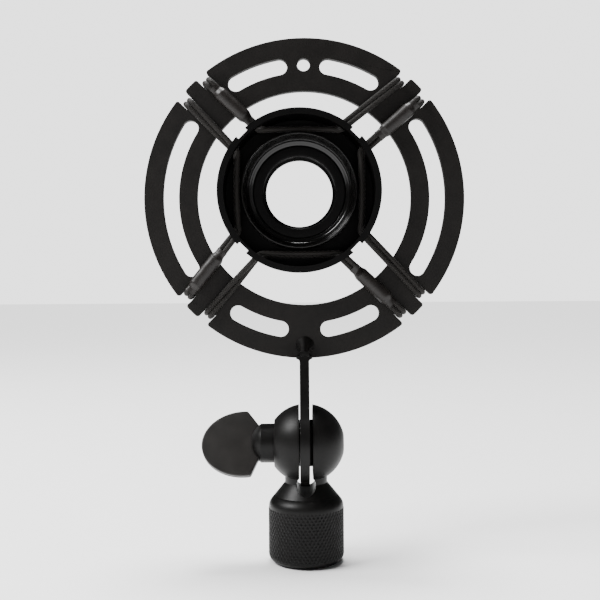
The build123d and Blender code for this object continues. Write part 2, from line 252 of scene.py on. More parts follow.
def ease(value):
    """Smooth step from 0 to 1: 3x^2 - 2x^3 of the value held between 0 and 1."""
    x = np.clip(value, 0.0, 1.0)
    return x * x * (3.0 - 2.0 * x)


def saw(value):
    """Triangle wave, 0 at whole numbers and 1 half way between: 1 - |2 frac(x) - 1|."""
    return 1.0 - np.abs(2.0 * (value - np.floor(value)) - 1.0)


def rounded_run(points, radii, step, closed=False):
    """Straight runs joined by tangent arcs. Each corner is cut back by r tan(turn / 2), and the arc is
    centre + (start - centre) cos t + r into sin t for t from 0 to the turn."""
    p = np.asarray(points, float)
    if closed:
        p = np.vstack([p[-1:], p, p[:1]])
    r = np.broadcast_to(np.asarray(radii, float), (len(p) - 2,))
    into = unit(p[1:-1] - p[:-2])
    away = unit(p[2:] - p[1:-1])
    turn = np.arccos(np.clip((into * away).sum(1), -1.0, 1.0))
    cut = (r * np.tan(turn / 2))[:, None]
    start = p[1:-1] - into * cut
    stop = p[1:-1] + away * cut
    inward = away - into
    inward = inward / np.maximum(np.linalg.norm(inward, axis=1), TINY)[:, None]
    centre = p[1:-1] + inward * (r / np.cos(turn / 2))[:, None]
    tails = np.vstack([stop[-1:] if closed else p[:1], stop[:-1]])
    pieces = []
    for k in range(len(r)):
        pieces.append(straight(tails[k], start[k], step))
        samples = max(2, int(turn[k] / ARC_TURN) + 1, int(turn[k] * r[k] / step) + 1)
        t = np.linspace(0.0, turn[k], samples)[:, None]
        if r[k] > 0 and turn[k] > 1e-6:
            pieces.append(centre[k] + (start[k] - centre[k]) * np.cos(t) + into[k] * r[k] * np.sin(t))
        else:
            pieces.append(p[1 + k][None])
    if not closed:
        pieces.append(straight(stop[-1], p[-1], step))
    run = np.vstack(pieces)
    keep = np.linalg.norm(np.diff(run, axis=0), axis=1) > TINY
    run = np.vstack([run[:1], run[1:][keep]])
    if closed and np.linalg.norm(run[0] - run[-1]) < TINY:
        run = run[:-1]
    return run


def straight(a, b, step):
    """Points spaced evenly from a to b, no further apart than step."""
    count = max(1, int(math.ceil(np.linalg.norm(b - a) / step)))
    t = np.linspace(0.0, 1.0, count + 1)[:, None]
    return a + (b - a) * t


def lean(profile, keep):
    """The profile without the points that lie on its straight runs, except where keep is true."""
    step = unit(np.diff(profile, axis=0))
    bent = np.ones(len(profile), dtype=bool)
    bent[1:-1] = (step[1:] * step[:-1]).sum(1) < 1.0 - TINY
    return profile[bent | keep]


def lengths(path):
    """Distance along a path at each of its points."""
    return np.concatenate([[0.0], np.cumsum(np.linalg.norm(np.diff(path, axis=0), axis=1))])


def spaced(path, step):
    """The same path with its points a step apart: each coordinate is read at equal distances."""
    s = lengths(path)
    at = np.linspace(0.0, s[-1], max(3, int(s[-1] / step) + 1))
    return np.stack([np.interp(at, s, path[:, k]) for k in range(3)], axis=1)


def turned(profile, axis, side, centre, count, lift=None, closed=False):
    """Turned surface: centre + h axis + (r + lift(angle, h)) (cos a side + sin a (axis x side)),
    for a profile of radius r and height h."""
    angle = np.linspace(0.0, 2 * math.pi, count, endpoint=False)[None, :]
    r = profile[:, 0][:, None] + np.zeros_like(angle)
    h = profile[:, 1][:, None] + np.zeros_like(angle)
    if lift is not None:
        r = r + lift(angle, r, h)
    across = np.cross(axis, side)
    points = (
        centre
        + h[..., None] * axis
        + r[..., None] * (np.cos(angle)[..., None] * side + np.sin(angle)[..., None] * across)
    )
    return {"points": points, "loop": closed, "along": lengths(profile)}


def carried(path, towards, radius, count, lift=None):
    """A section carried along a path: p(v) + (r + lift(u, v)) (cos u N + sin u B), where T is the
    path's direction, N is the given direction made square to T, and B = T x N. Both ends are closed."""
    tangent = unit(np.gradient(path, axis=0))
    normal = unit(towards - (towards * tangent).sum(1)[:, None] * tangent)
    binormal = np.cross(tangent, normal)
    u = np.linspace(0.0, 2 * math.pi, count, endpoint=False)[None, :]
    along = lengths(path)
    v = along[:, None] + np.zeros_like(u)
    r = np.broadcast_to(np.asarray(radius, float), (len(path), 1)) + np.zeros_like(u)
    if lift is not None:
        r = r + lift(u, v)
    points = path[:, None, :] + r[..., None] * (
        np.cos(u)[..., None] * normal[:, None, :] + np.sin(u)[..., None] * binormal[:, None, :]
    )
    first = np.broadcast_to(path[0], (1, count, 3))
    last = np.broadcast_to(path[-1], (1, count, 3))
    points = np.concatenate([first, points, last])
    return {"points": points, "loop": False, "along": np.concatenate([along[:1], along, along[-1:]])}


def make(name, surfaces, smooth=40.0):
    """Puts grids of points into one mesh. Point (i, j) joins (i, j + 1), (i + 1, j + 1) and (i + 1, j);
    the second count goes round and closes. UV is the share of the way round and the length along."""
    verts, faces, uvs = [], [], []
    offset = 0
    for surface in surfaces:
        points = surface["points"]
        rows, cols = points.shape[:2]
        strips = rows if surface["loop"] else rows - 1
        i, j = np.meshgrid(np.arange(strips), np.arange(cols), indexing="ij")
        up, over = (i + 1) % rows, (j + 1) % cols
        quads = np.stack([i * cols + j, i * cols + over, up * cols + over, up * cols + j], axis=-1)
        faces.append(quads.reshape(-1, 4) + offset)
        along = surface["along"]
        u0, u1 = j / cols, (j + 1) / cols
        v0, v1 = along[i], along[np.minimum(i + 1, rows - 1)]
        corner = np.stack([u0, v0, u1, v0, u1, v1, u0, v1], axis=-1)
        uvs.append(corner.reshape(-1, 2))
        verts.append(points.reshape(-1, 3))
        offset += rows * cols
    verts, faces, uvs = np.vstack(verts), np.vstack(faces), np.vstack(uvs)
    mesh = bpy.data.meshes.new(name)
    mesh.vertices.add(len(verts))
    mesh.vertices.foreach_set("co", verts.astype(np.float32).ravel())
    mesh.loops.add(faces.size)
    mesh.loops.foreach_set("vertex_index", faces.astype(np.int32).ravel())
    mesh.polygons.add(len(faces))
    mesh.polygons.foreach_set("loop_start", np.arange(0, faces.size, 4, dtype=np.int32))
    mesh.update(calc_edges=True)
    layer = mesh.uv_layers.new(name="UVMap")
    layer.uv.foreach_set("vector", uvs.astype(np.float32).ravel())
    work = merged(mesh, 2e-7)
    work.to_mesh(mesh)
    work.free()
    return shown(name, mesh, smooth)


def merged(mesh, distance):
    """A working copy of a mesh with its doubles merged and its faces turned outward."""
    work = bmesh.new()
    work.from_mesh(mesh)
    bmesh.ops.remove_doubles(work, verts=work.verts, dist=distance)
    bmesh.ops.recalc_face_normals(work, faces=work.faces)
    return work


def shown(name, mesh, smooth=40.0):
    """Links a mesh to the scene as an object at the origin, smooth except at sharper edges."""
    mesh.polygons.foreach_set("use_smooth", np.ones(len(mesh.polygons), dtype=bool))
    mesh.set_sharp_from_angle(angle=math.radians(smooth))
    piece = bpy.data.objects.new(name, mesh)
    bpy.context.collection.objects.link(piece)
    return piece


def lathe(name, corners, radii, step, place, columns, lift=None, keep=None, closed=True, smooth=40.0):
    """A rounded outline of (radius, height) corners, turned about an axis; place is the axis, the
    direction of angle 0 and the centre. With keep, points on straight runs stay only where it is true."""
    profile = rounded_run(corners, radii, step, closed)
    if keep is not None:
        profile = lean(profile, keep(profile[:, 0], profile[:, 1]))
    return make(name, [turned(profile, *place, columns, lift, closed)], smooth)


def rounded_copy(node, name, width, segments=3, above=None):
    """A CAD node's own surface with its doubles merged and flat faces joined, then a Bevel on every
    edge that turns more than 30 degrees. With above, only the part over that height is kept, and the
    cut is closed flat."""
    work = bmesh.new()
    work.from_mesh(frame["nodes"][node].data)
    bmesh.ops.remove_doubles(work, verts=work.verts, dist=1e-6)
    flat = math.radians(0.4)
    bmesh.ops.dissolve_limit(work, angle_limit=flat, verts=work.verts, edges=work.edges)
    bmesh.ops.recalc_face_normals(work, faces=work.faces)
    mesh = bpy.data.meshes.new(name)
    work.to_mesh(mesh)
    work.free()
    piece = shown(name, mesh, 180.0)
    bevel = piece.modifiers.new("Rounded edges", "BEVEL")
    bevel.width = width
    bevel.segments = segments
    bevel.limit_method = "ANGLE"
    bevel.angle_limit = math.radians(30)
    bevel.use_clamp_overlap = True
    if above is not None:
        cut_above(piece, above)
    even = piece.modifiers.new("Even shading", "WEIGHTED_NORMAL")
    even.keep_sharp = True
    return piece


def cut_above(piece, height):
    """Applies a piece's modifiers and keeps what is over a height, closed with a flat face."""
    view = bpy.context.evaluated_depsgraph_get()
    mesh = bpy.data.meshes.new_from_object(piece.evaluated_get(view))
    piece.modifiers.clear()
    work = bmesh.new()
    work.from_mesh(mesh)
    geometry = work.verts[:] + work.edges[:] + work.faces[:]
    cut = bmesh.ops.bisect_plane(
        work, geom=geometry, plane_co=(0, 0, height), plane_no=(0, 0, 1), clear_inner=True
    )
    rim = [e for e in cut["geom_cut"] if isinstance(e, bmesh.types.BMEdge)]
    bmesh.ops.contextual_create(work, geom=rim)
    bmesh.ops.recalc_face_normals(work, faces=work.faces)
    work.to_mesh(mesh)
    work.free()
    mesh.set_sharp_from_angle(angle=math.radians(50))
    piece.data = mesh


# ---- Finishes ----


class Value:
    """A shader socket whose arithmetic adds Math nodes."""

    def __init__(self, maker, socket):
        self.maker = maker
        self.socket = socket

    def math(self, operation, *values):
        return self.maker.node("ShaderNodeMath", {"operation": operation}, dict(enumerate(values)))

    def __add__(self, other):
        return self.math("ADD", self, other)

    def __sub__(self, other):
        return self.math("SUBTRACT", self, other)

    def __rsub__(self, other):
        return self.math("SUBTRACT", other, self)

    def __mul__(self, other):
        return self.math("MULTIPLY", self, other)

    def __truediv__(self, other):
        return self.math("DIVIDE", self, other)

    __radd__ = __add__
    __rmul__ = __mul__

    def __abs__(self):
        return self.math("ABSOLUTE", self)

    def frac(self):
        return self.math("FRACT", self)

    def floor(self):
        return self.math("FLOOR", self)

    def between(self, low, high):
        """0 below low, 1 above high and smooth between."""
        settings = {"interpolation_type": "SMOOTHSTEP"}
        return self.maker.node("ShaderNodeMapRange", settings, {0: self, 1: low, 2: high})


class Finish:
    """One material, built on its Principled BSDF."""

    def __init__(self, name):
        self.material = bpy.data.materials.new(name)
        self.material.use_nodes = True
        self.tree = self.material.node_tree
        self.shader = next(n for n in self.tree.nodes if n.type == "BSDF_PRINCIPLED")

    def node(self, kind, settings=None, values=None, output=0):
        """Any node: its settings first, then the values or links of its sockets."""
        made = self.tree.nodes.new(kind)
        for key, value in (settings or {}).items():
            setattr(made, key, value)
        for key, value in (values or {}).items():
            if isinstance(value, Value):
                self.tree.links.new(value.socket, made.inputs[key])
            else:
                made.inputs[key].default_value = value
        return Value(self, made.outputs[output])

    def place(self):
        """The place on the piece, in the object's own coordinates."""
        return self.node("ShaderNodeTexCoord", output=3)

    def facing(self, axis):
        """How squarely the surface faces along one of the object's axes, from -1 to 1."""
        normal = self.node("ShaderNodeTexCoord", output=1)
        return self.node("ShaderNodeSeparateXYZ", None, {0: normal}, output=axis)

    def uv(self, axis):
        """The share of the way round (0) or the length along (1)."""
        place = self.node("ShaderNodeTexCoord", output=2)
        return self.node("ShaderNodeSeparateXYZ", None, {0: place}, output=axis)

    def noise(self, scale, detail=2.0, stretch=None, roughness=0.5):
        """Cloudy noise, with this many waves to the metre."""
        place = self.place()
        if stretch is not None:
            place = self.node("ShaderNodeMapping", None, {"Vector": place, "Scale": stretch})
        values = {"Vector": place, "Scale": scale, "Detail": detail, "Roughness": roughness}
        return self.node("ShaderNodeTexNoise", None, values)

    def mix(self, amount, low, high):
        """A colour between two others."""
        values = {0: amount, 6: low, 7: high}
        return self.node("ShaderNodeMix", {"data_type": "RGBA"}, values, output=2)

    def bump(self, height, distance, strength=1.0):
        """A normal tilted as if the surface rose by height times distance."""
        values = {"Height": height, "Distance": distance, "Strength": strength}
        return self.node("ShaderNodeBump", None, values)

    def surface(self, **values):
        """Sets or links the shader's own sockets; an underscore stands for a space."""
        for key, value in values.items():
            socket = self.shader.inputs[key.replace("_", " ")]
            if isinstance(value, Value):
                self.tree.links.new(value.socket, socket)
            else:
                socket.default_value = value
        return self.material


def tone(colour, factor):
    """A colour made lighter or darker, with full alpha."""
    return (colour[0] * factor, colour[1] * factor, colour[2] * factor, 1.0)


def enamel(name, colour, rough, coat=0.0, grain=0.35, painted_highlight_axis=None, shine=0.16):
    """Sprayed enamel: a cloudy colour, a fine orange-peel grain, and a painted highlight on the edges:
    where a plate's surface turns from its flat faces, the colour is painted paler in patches."""
    f = Finish(name)
    cloud = f.noise(210.0, 3.0)
    fleck = f.noise(2600.0, 2.0, roughness=0.6)
    shade = cloud * 0.7 + fleck * 0.3
    base = f.mix(shade.between(0.3, 0.72), tone(colour, 0.78), tone(colour, 1.3))
    patches = f.noise(900.0, 3.0).between(0.45, 0.7)
    roughness = rough + (cloud - 0.5) * 0.14 + (fleck - 0.5) * 0.1
    # Painted highlight: on rounded edges, where the surface turns between facing along this axis and across
    # it, the colour is painted up to 3.2 times paler in patches, and the roughness is lowered.
    if painted_highlight_axis is not None:
        square = abs(f.facing(painted_highlight_axis))
        edge = (4.0 * square * (1.0 - square)).between(0.35, 0.95)
        base = f.mix(edge * (0.25 + 0.35 * patches), base, tone(colour, 3.2))
        roughness = roughness - edge * 0.08
    normal = f.bump(fleck * 0.6 + f.noise(5200.0, 1.0) * 0.4, 0.00004, grain)
    return f.surface(
        Base_Color=base, Roughness=roughness, Coat_Weight=coat, Coat_Roughness=0.25,
        Specular_IOR_Level=shine, Normal=normal,
    )


def gloss(name, colour, rough=0.2):
    """Glossy enamel on turned metal: fine rings from the turning show faintly under it."""
    f = Finish(name)
    cloud = f.noise(320.0, 2.0)
    place = f.node("ShaderNodeSeparateXYZ", None, {0: f.place()}, output=1)
    rings = (place * 5200.0).frac()
    dust = f.noise(1900.0, 3.0).between(0.62, 0.8)
    base = f.mix(cloud.between(0.3, 0.7), tone(colour, 0.8), tone(colour, 1.25))
    base = f.mix(dust * 0.2, base, tone(colour, 5.0))
    return f.surface(
        Base_Color=base, Roughness=rough + (cloud - 0.5) * 0.08 + dust * 0.12, Coat_Weight=0.25,
        Coat_Roughness=0.1, Specular_IOR_Level=0.2,
        Normal=f.bump(rings * 0.3 + cloud, 0.00002, 0.25),
    )


def woven(name, colour, carriers, step):
    """Braided cover: two families of yarns at u N + v / p and u N - v / p pass over and under each
    other, turn about; the colour has a painted highlight along the top yarn's ridge and painted shade at
    its sides."""
    f = Finish(name)
    u, v = f.uv(0) * float(carriers), f.uv(1) / step
    a, b = u + v * 0.5, u - v * 0.5
    over = ((a.floor() + b.floor()) * 0.5).frac() * 2.0
    ridge_a = 1.0 - abs(a.frac() * 2.0 - 1.0)
    ridge_b = 1.0 - abs(b.frac() * 2.0 - 1.0)
    ridge = over * ridge_a + (1.0 - over) * ridge_b
    fuzz = f.noise(4200.0, 2.0)
    patches = f.noise(420.0, 2.0).between(0.4, 0.75)
    # Painted highlight and shade: from 0.2 times the cord's colour between the yarns to 2.3 times along the
    # top yarn's ridge.
    base = f.mix((ridge * 0.8 + fuzz * 0.4).between(0.3, 1.0), tone(colour, 0.2), tone(colour, 2.3))
    base = f.mix(patches * 0.2, base, tone(colour, 2.2))
    return f.surface(
        Base_Color=base, Roughness=0.62 + (fuzz - 0.5) * 0.2, Sheen_Weight=0.06,
        Sheen_Roughness=0.4, Specular_IOR_Level=0.2,
        Normal=f.bump(ridge + fuzz * 0.3, 0.00006, 0.6),
    )


def shrunk(name, colour):
    """Heat-shrunk polymer: soft satin with faint long creases and a dusty bloom."""
    f = Finish(name)
    crease = f.noise(260.0, 3.0, roughness=0.6)
    bloom = f.noise(1500.0, 3.0)
    base = f.mix((crease * 0.6 + bloom * 0.4).between(0.3, 0.7), tone(colour, 0.75), tone(colour, 1.3))
    return f.surface(
        Base_Color=base, Roughness=0.44 + (bloom - 0.5) * 0.2, Coat_Weight=0.06,
        Coat_Roughness=0.35, Specular_IOR_Level=0.25,
        Normal=f.bump(crease + bloom * 0.15, 0.00012, 0.5),
    )


def blackened(name, colour, rough=0.34):
    """Blackened steel with fine scratches and small bright rubs."""
    f = Finish(name)
    scratch = f.noise(700.0, 4.0, stretch=(1.0, 14.0, 14.0))
    rub = f.noise(1300.0, 3.0).between(0.6, 0.8)
    base = f.mix(rub * 0.5, tone(colour, 0.8), tone(colour, 2.6))
    return f.surface(
        Base_Color=base, Metallic=0.85, Roughness=rough + (scratch - 0.5) * 0.2,
        Normal=f.bump(scratch, 0.00002, 0.4),
    )


def matt(name, colour, rough=0.8):
    """Fibre or rubber: dull, with a fine open grain."""
    f = Finish(name)
    grain = f.noise(3200.0, 3.0)
    base = f.mix(grain.between(0.35, 0.7), tone(colour, 0.7), tone(colour, 1.6))
    return f.surface(
        Base_Color=base, Roughness=rough + (grain - 0.5) * 0.15, Specular_IOR_Level=0.15,
        Normal=f.bump(grain, 0.00005, 0.5),
    )


FINISHES = {}


def finish(name):
    """The object's finishes, each made once from the colours in the panel."""
    if not FINISHES:
        c = bpy.context.scene.shock_colours
        cords = bpy.context.scene.shock_cords
        FINISHES.update(
            ring=enamel("Ring enamel", c.ring, 0.56, grain=0.5, painted_highlight_axis=1),
            # Painted shade: the arm's enamel is the swivel's in a darker copy.
            arm=enamel("Arm enamel painted darker", c.arm, 0.42, coat=0.05, grain=0.3, painted_highlight_axis=0),
            swivel=enamel("Swivel enamel", c.swivel, 0.42, grain=0.22, shine=0.15),
            # Painted light: the wing's enamel is the swivel's in a paler copy.
            wing=enamel("Wing enamel painted lighter", c.wing, 0.46, coat=0.05, grain=0.3, shine=0.3),
            cup=enamel("Cup enamel", c.cup, 0.5, grain=0.3, shine=0.08),
            lock=gloss("Lock ring enamel", c.lock),
            bush=enamel("Bush enamel", c.cup, 0.45, grain=0.2, shine=0.08),
            cord=woven("Cord cover", c.cord, cords.carriers, cords.braid_step),
            sleeve=shrunk("Sleeve", c.sleeve),
            steel=blackened("Blackened steel", c.steel),
            fibre=matt("Friction washer", c.fibre),
            ferrule=blackened("Ferrule", c.ferrule, 0.4),
        )
    return FINISHES[name]


def finished_copy(node, name, width, look, slot, body, segments=3):
    """A CAD node's rounded copy with its finish, in the node's place."""
    return dress(rounded_copy(node, name, width, segments), look, slot, body, node)


def washer(node, name, hole, rounding, axis, side, columns, body):
    """A flat fibre washer in a node's place, along X (axis 0) or Y (axis 1)."""
    along = (RIGHT, BACK)[axis]
    r, t = reach(node, 2 - 2 * axis), reach(node, axis)
    corners = [(hole, -t), (r, -t), (r, t), (hole, t)]
    piece = lathe(name, corners, rounding, 0.5 * MM, (along, side, middle(node)), columns)
    return dress(piece, "fibre", "fibre", body, node)


def dress(piece, look, slot, body, *nodes):
    """Gives a piece its finish, rides it on its body and hides the CAD nodes it stands for; the slot
    argument is not used.
    """
    piece.data.materials.clear()
    piece.data.materials.append(finish(look))
    if body:
        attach(piece, body)
    if nodes:
        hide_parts(*nodes)
    return piece


# ---- Where the cords run ----


def corner_axes(place):
    """A corner's directions: outwards along its diagonal, and square to it in the ring's plane."""
    a = math.radians(CORNERS[place])
    return np.array([math.cos(a), 0.0, math.sin(a)]), np.array([-math.sin(a), 0.0, math.cos(a)])


def at_corner(centre, place, out, across, depth):
    """A point out along a corner's diagonal, across it, and behind the ring's middle plane."""
    outwards, square = corner_axes(place)
    return np.array([centre[0], RING[1], centre[2]]) + outwards * out + square * across + BACK * depth


def leg_line(place, side):
    """A leg's middle line: over the ring's edge, and where it turns inside the cup."""
    s = bpy.context.scene.shock_cords
    depth = s.leg_depth if side < 0 else s.plain_depth
    bend = at_corner(RING, place, s.bend_out, side * s.notch_offset, -depth)
    out = s.chord_offset * math.sqrt(2) - s.cup_offset
    turn = at_corner(CUP, place, out, side * s.cup_offset, -s.leg_depth)
    return bend, turn


def leg_point(place, side, distance):
    """A point on a leg's middle line at a distance in from the bend."""
    bend, turn = leg_line(place, side)
    return bend + unit(turn - bend) * distance


def leg_length(place, side):
    """The length of a leg's middle line."""
    bend, turn = leg_line(place, side)
    return float(np.linalg.norm(turn - bend))


def bend_leg(piece, place, side):
    """Bakes the placement of a piece on a leg into its mesh."""
    start = leg_point(place, side, LEG_START + 0.5 * MM)
    end = leg_point(place, side, leg_length(place, side) - WALL_INSET - 0.4 * MM)
    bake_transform(piece)


def braid(carriers, step, lift):
    """Height of a braided cover: lift times the ridge of whichever yarn is on top, less the level
    that keeps the cord's mean thickness."""
    level = 0.6

    def height(u, v):
        a = u / (2 * math.pi) * carriers + v / step * 0.5
        b = u / (2 * math.pi) * carriers - v / step * 0.5
        over = np.mod(np.floor(a) + np.floor(b), 2.0)
        return lift * (np.where(over > 0.5, saw(a), saw(b)) - level)

    return height


def strand(path, towards):
    """One elastic strand along a path, with its braid."""
    s = bpy.context.scene.shock_cords
    columns = 36
    cover = braid(s.carriers, s.braid_step, s.braid_lift)
    return carried(path, towards, s.strand_radius, columns, cover)


def side_run(index):
    """The middle line of a side's pair from one bend to the next, its turn from side by side in
    degrees at each point, and where it enters and leaves the cup."""
    s = bpy.context.scene.shock_cords
    here, there = PLACES[index], PLACES[(index + 1) % 4]
    turn, turn2 = leg_line(here, -1)[1], leg_line(there, 1)[1]
    points = [leg_point(here, -1, LEG_START), turn, turn2, leg_point(there, 1, LEG_START)]
    path = spaced(rounded_run(points, s.corner_radius, CORNER_STEP), PATH_STEP)
    at = lengths(path)
    wall = leg_length(here, -1) - LEG_START - WALL_INSET
    wall2 = at[-1] - (leg_length(there, 1) - LEG_START - WALL_INSET)
    near, before, after = 4 * MM, 2 * MM, 3.5 * MM
    first, second = TWIST_SLEEVED[here], TWIST_PLAIN[there]
    keys = [0.0, near, wall - before, wall + after]
    keys += [wall2 - after, wall2 + before, at[-1] - near, at[-1]]
    turns = [0.0, 0.1 * first, first, TWIST_RUN, TWIST_RUN, second, 0.1 * second, 0.0]
    twist = np.interp(at, keys, turns)
    share = np.clip((at - wall) / (wall2 - wall), 0.0, 1.0)
    outward = (turn + turn2) / 2 - CUP
    outward = unit(outward * np.array([1.0, 0.0, 1.0]))
    path = path + outward * (s.chord_bow * np.sin(math.pi * share) ** 0.7)[:, None]
    width = 15
    padded = np.pad(twist, width // 2, mode="edge")
    twist = np.convolve(padded, np.ones(width) / width, mode="valid")
    return path, np.radians(twist), wall, wall2


def pair_paths(path, twist):
    """Two strands either side of a middle line: p +- g (cos f (T x y) + sin f y), turned by f."""
    s = bpy.context.scene.shock_cords
    tangent = unit(np.gradient(path, axis=0))
    across = unit(np.cross(tangent, BACK))
    offset = across * np.cos(twist)[:, None] + BACK * np.sin(twist)[:, None]
    return [path + sign * s.pair_half * offset for sign in (-1.0, 1.0)]


def part_of(path, low, high):
    """Which points of a path lie between two distances along it, with a little over at each end."""
    at = lengths(path)
    over = 0.2 * MM
    return (at >= low - over) & (at <= high + over)


def rear_loop(place, sign):
    """One strand from a plain leg over the ring's edge, across the back of the tab and over the edge
    again to the sleeved leg, and the direction from each point to the middle of the ring's plate."""
    s = bpy.context.scene.shock_cords
    wide = s.notch_offset + sign * s.pair_half
    lane = s.rear_lane - sign * s.pair_half
    outwards, square = corner_axes(place)
    first = leg_point(place, 1, LEG_START) + square * sign * s.pair_half
    last = leg_point(place, -1, LEG_START) - square * sign * s.pair_half
    stops = [
        (s.bend_out, wide, -s.plain_depth), (s.bend_out, wide, s.rear_depth),
        (lane, wide, s.rear_depth), (lane, -wide, s.rear_depth),
        (s.bend_out, -wide, s.rear_depth), (s.bend_out, -wide, -s.leg_depth),
    ]
    points = [first, *(at_corner(RING, place, *stop) for stop in stops), last]
    b, c = s.bend_radius, s.lane_radius
    path = spaced(rounded_run(points, [b, b, c, c, b, b], 0.3 * MM), PATH_STEP)
    local = path - RING
    out = local @ outwards
    plate = np.minimum(out, s.bend_out - b)
    target = plate[:, None] * outwards + (local @ square)[:, None] * square
    return path, target - local


# ---- Operators, one for each piece or group of like pieces ----


class Build:
    """What the operators share, and how the panel finds them."""

    bl_options = {"REGISTER", "UNDO"}


class SHOCKMOUNT_OT_ring(Build, bpy.types.Operator):
    """Make the slotted outer ring with rounded edges"""

    bl_idname = "shockmount.ring"
    bl_label = "Outer ring"

    def execute(self, context):
        edge = context.scene.shock_metal.edge
        finished_copy("outer_ring", "ring_plate", edge, "ring", "ring_enamel", "mount")
        return {"FINISHED"}


class SHOCKMOUNT_OT_arm(Build, bpy.types.Operator):
    """Make the arm and the screw that holds the ring to it"""

    bl_idname = "shockmount.arm"
    bl_label = "Arm"

    def execute(self, context):
        edge = context.scene.shock_metal.arm_edge
        finished_copy("arm", "arm_plate", edge, "arm", "swivel_enamel", "mount")
        finished_copy("arm_screw", "arm_screw_head", 0.12 * MM, "steel", "screw_steel", "mount")
        return {"FINISHED"}


class SHOCKMOUNT_OT_swivel(Build, bpy.types.Operator):
    """Make the ball, neck and knurled grip with the stand thread in its foot"""

    bl_idname = "shockmount.swivel"
    bl_label = "Swivel"

    def execute(self, context):
        s = context.scene.shock_metal
        cone_cut, cone_r = 22.5 * MM, 10.75 * MM
        ball = rounded_copy("swivel_base", "ball_and_neck", 0.28 * MM, above=cone_cut)
        dress(ball, "swivel", "swivel_enamel", "swivel", "swivel_base")
        radius, top, shoulder = 12.7 * MM, 18.4 * MM, 20.1 * MM
        foot, bore, liner, depth = 2.8 * MM, 7.45 * MM, 9.0 * MM, 15.0 * MM
        diamond_top, diamond_level = 0.75, 0.38
        place = (UP, RIGHT, np.zeros(3))
        corners = [
            (0.0, depth + 1.2 * MM), (liner, depth + 1.2 * MM), (liner, 0.0), (radius, 0.0),
            (radius, shoulder), (cone_r, cone_cut), (0.0, cone_cut),
        ]

        def knurl(angle, r, h):
            lines = s.knurl_around * angle / (2 * math.pi)
            diamonds = np.minimum(saw(lines + h / s.knurl_step), saw(lines - h / s.knurl_step))
            fade = ease((h - foot * 0.6) / (0.9 * MM)) * ease((top - h) / (0.12 * MM))
            height = s.knurl_depth * fade * (np.minimum(diamonds, diamond_top) - diamond_level)
            return np.where(r > radius - 0.5 * MM, height, 0.0)

        radii, rows = [0.0, 0.1 * MM, foot, 3.4 * MM, 0.0], s.knurl_step / 9
        columns = s.knurl_around * 9

        def on_grip(r, h):
            return r > radius - 0.01 * MM

        grip = lathe(
            "knurled_grip", corners, radii, rows, place, columns, knurl, on_grip, False, 60.0
        )
        dress(grip, "swivel", "swivel_enamel", "swivel", "swivel_base")
        over = depth + 1.1 * MM
        corners = [(liner, 0.0), (liner, over), (bore - MM, over), (bore, depth), (bore, 0.0)]

        def thread(angle, r, h):
            turn = saw(h / s.stand_pitch + angle / (2 * math.pi))
            cut = ease((h - 0.4 * MM) / MM) * ease((depth - 0.8 * MM - h) / MM)
            return np.where(np.abs(r - bore) < 0.02 * MM, s.stand_depth * turn * cut, 0.0)

        radii, rows = np.array([0.2, 0.1, 0.1, 0.1, 0.7]) * MM, s.stand_pitch / 8

        def in_foot(r, h):
            return r < bore + 0.01 * MM

        threaded = lathe(
            "stand_thread_liner", corners, radii, rows, place, 120, thread, in_foot, smooth=50.0
        )
        dress(threaded, "steel", "swivel_enamel", "swivel", "swivel_base")
        return {"FINISHED"}


class SHOCKMOUNT_OT_washers(Build, bpy.types.Operator):
    """Make the two friction washers beside the arm's eye"""

    bl_idname = "shockmount.washers"
    bl_label = "Friction washers"

    def execute(self, context):
        for side in ("left", "right"):
            node, name = "friction_washer_" + side, "washer_" + side
            washer(node, name, 3.1 * MM, 0.15 * MM, 0, UP, 96, "swivel")
        return {"FINISHED"}


class SHOCKMOUNT_OT_thumb_screw(Build, bpy.types.Operator):
    """Make the thumb screw's domed head, wing and threaded stud"""

    bl_idname = "shockmount.thumb_screw"
    bl_label = "Thumb screw"

    def execute(self, context):
        s = context.scene.shock_metal
        slot, body = "swivel_enamel", "thumb_screw"
        finished_copy("thumb_screw_head", "screw_head", 0.3 * MM, "swivel", slot, body)
        finished_copy("thumb_screw_wing", "screw_wing", s.wing_edge, "wing", slot, body, 4)
        low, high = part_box("clamp_stud")
        r, pitch, depth, plain = reach("clamp_stud", 2), MM, 0.35 * MM, 2.6 * MM
        a, b = float(low[0]), float(high[0])
        corners = [
            (0.0, a), (r, a), (r, b), (1.9 * MM, b), (1.5 * MM, b - 1.6 * MM),
            (0.0, b - 1.9 * MM),
        ]

        def lift(angle, r0, h):
            cut = ease((r0 - r + 0.05 * MM) / (0.05 * MM)) * ease((h - plain) / MM)
            return -depth * cut * (1.0 - saw(h / pitch + angle / (2 * math.pi)))

        radii = [0.4 * MM, 0.6 * MM, 0.2 * MM, 0.0]
        place = (RIGHT, UP, PIVOT)
        stud = lathe("clamp_stud_threaded", corners, radii, pitch / 8, place, 72, lift, closed=False)
        dress(stud, "steel", "screw_steel", body, "clamp_stud")
        return {"FINISHED"}


class SHOCKMOUNT_OT_cup(Build, bpy.types.Operator):
    """Make the cup, with its flange, notches and cord holes"""

    bl_idname = "shockmount.cup"
    bl_label = "Cup"

    def execute(self, context):
        edge = context.scene.shock_metal.edge * 0.8
        finished_copy("mic_cup", "cup_shell", edge, "cup", "cup_black", "cup")
        washer("seat_washer", "cushion_washer", 16.15 * MM, 0.2 * MM, 1, RIGHT, 144, "cup")
        return {"FINISHED"}


